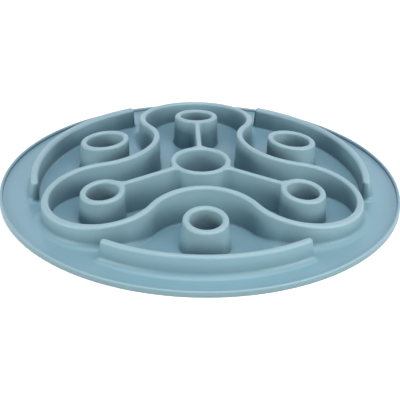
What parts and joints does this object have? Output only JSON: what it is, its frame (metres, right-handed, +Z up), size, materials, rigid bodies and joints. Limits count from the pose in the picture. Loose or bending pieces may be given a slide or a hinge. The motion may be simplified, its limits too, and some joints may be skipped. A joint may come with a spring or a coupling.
{
  "type": "slow feeder mat",
  "caption": "Round silicone pet feeding mat with a lobed maze of domed walls, ribs, round food cups and outer arc walls that slow eating.",
  "frame": {"origin": "centre of the mat's underside, on the table", "axes": "+Z up out of the floor of the mat, +Y to the back lobe, -Y to the front arc wall, +X to the right"},
  "size_m": [0.28, 0.28, 0.0284],
  "materials": {
    "silicone": "matte"
  },
  "bodies": {
    "root": {"base_disc": "silicone", "rim_bead": "silicone", "hub_cup": "silicone", "rib_back": "silicone", "rib_left": "silicone", "rib_right": "silicone", "lobe_cup_back": "silicone", "lobe_cup_left": "silicone", "lobe_cup_right": "silicone", "pocket_cup_front": "silicone", "pocket_cup_left": "silicone", "pocket_cup_right": "silicone", "lobe_wall_back": "silicone", "lobe_wall_left": "silicone", "lobe_wall_right": "silicone", "bay_wall_front": "silicone", "bay_wall_left": "silicone", "bay_wall_right": "silicone", "arc_wall_front": "silicone", "arc_wall_left": "silicone", "arc_wall_right": "silicone"}
  },
  "joints": []
}
